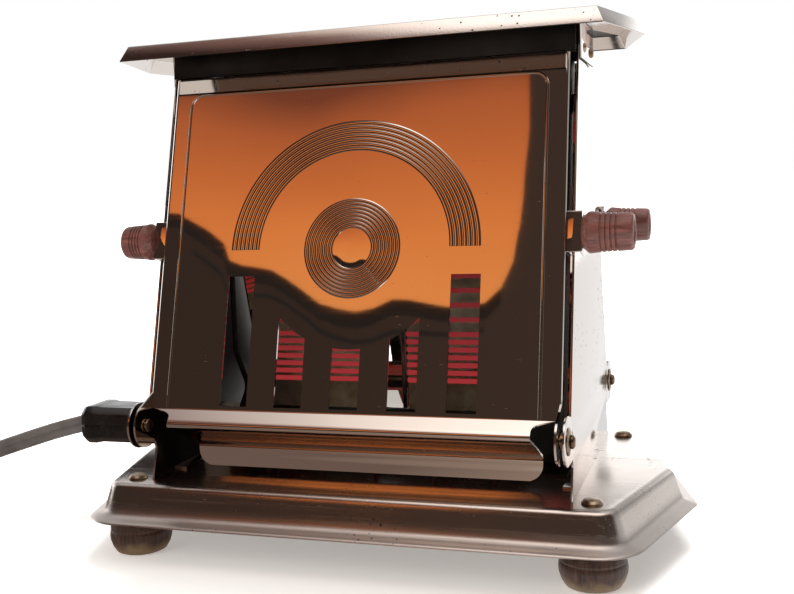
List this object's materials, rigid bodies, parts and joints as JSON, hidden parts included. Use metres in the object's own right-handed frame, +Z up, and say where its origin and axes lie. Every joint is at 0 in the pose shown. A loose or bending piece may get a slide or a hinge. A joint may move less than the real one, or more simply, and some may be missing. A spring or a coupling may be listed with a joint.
{
  "type": "electric toaster",
  "caption": "Electric tip-door toaster with a chromed six-sided tray and lid, sloping hinged doors on both sides, wooden knobs and feet, and a pull-off mains connector.",
  "frame": {"origin": "on the table under the middle of the base", "axes": "+X along the toaster away from the mains connector, -Y out of the front door, +Z up"},
  "size_m": [0.47, 0.1699, 0.1878],
  "materials": {
    "chrome_plate": "polished",
    "plain_steel": "satin",
    "fastener_steel": "satin",
    "mica": "satin",
    "heating_ribbon": "satin",
    "insulating_board": "matte",
    "ceramic": "matte",
    "brass": "satin",
    "wire_sleeve": "matte",
    "moulded_black": "semi-gloss",
    "cord_grey": "matte",
    "tie": "matte",
    "knob_wood": "painted satin",
    "foot_wood": "satin"
  },
  "bodies": {
    "stand": {"base_shell": "chrome_plate", "bottom_plate": "plain_steel", "card_strips": "insulating_board", "cup_washers": "fastener_steel", "end_plate_left": "chrome_plate", "end_plate_right": "chrome_plate", "foot_bolts": "fastener_steel", "foot_front_left": "foot_wood", "foot_front_right": "foot_wood", "foot_nuts": "fastener_steel", "foot_rear_left": "foot_wood", "foot_rear_right": "foot_wood", "guard_bar_front": "plain_steel", "guard_bar_rear": "plain_steel", "guards_front": "plain_steel", "guards_rear": "plain_steel", "hanger_rivets": "fastener_steel", "header_front": "plain_steel", "header_rear": "plain_steel", "heat_shield": "plain_steel", "lead_front": "wire_sleeve", "lead_rear": "wire_sleeve", "lower_board": "insulating_board", "mica_card_left": "mica", "mica_card_right": "mica", "pivot_pins_front": "fastener_steel", "pivot_pins_rear": "fastener_steel", "pivot_spacers": "fastener_steel", "ribbon_left": "heating_ribbon", "ribbon_right": "heating_ribbon", "terminal_block": "ceramic", "terminal_nuts": "fastener_steel", "terminal_pins": "brass", "top_plate": "chrome_plate", "upper_rail": "plain_steel"},
    "front_door": {"front_door_panel": "chrome_plate", "front_knob_left": "knob_wood", "front_knob_right": "knob_wood", "front_knob_screws": "fastener_steel", "front_knob_tab_left": "chrome_plate", "front_knob_tab_right": "chrome_plate"},
    "rear_door": {"rear_door_panel": "chrome_plate", "rear_knob_left": "knob_wood", "rear_knob_right": "knob_wood", "rear_knob_screws": "fastener_steel", "rear_knob_tab_left": "chrome_plate", "rear_knob_tab_right": "chrome_plate"},
    "connector": {"connector_upper": "moulded_black", "connector_lower": "moulded_black", "connector_screw": "fastener_steel", "connector_contacts": "brass", "mains_lead": "cord_grey", "lead_coil": "cord_grey", "lead_tail": "cord_grey", "coil_tie": "tie", "plug_grip": "moulded_black", "plug_body": "moulded_black", "plug_blades": "brass"}
  },
  "joints": [
    {"name": "front_door_tip", "type": "hinge", "parent": "stand", "child": "front_door", "pos_m": [0, -0.0556, 0.049], "axis": [1, 0, 0], "range_deg": [0, 100]},
    {"name": "rear_door_tip", "type": "hinge", "parent": "stand", "child": "rear_door", "pos_m": [0, 0.0556, 0.049], "axis": [-1, 0, 0], "range_deg": [0, 100]},
    {"name": "connector_pull", "type": "slide", "parent": "stand", "child": "connector", "axis": [-1, 0, 0], "range_m": [0, 0.03]}
  ]
}
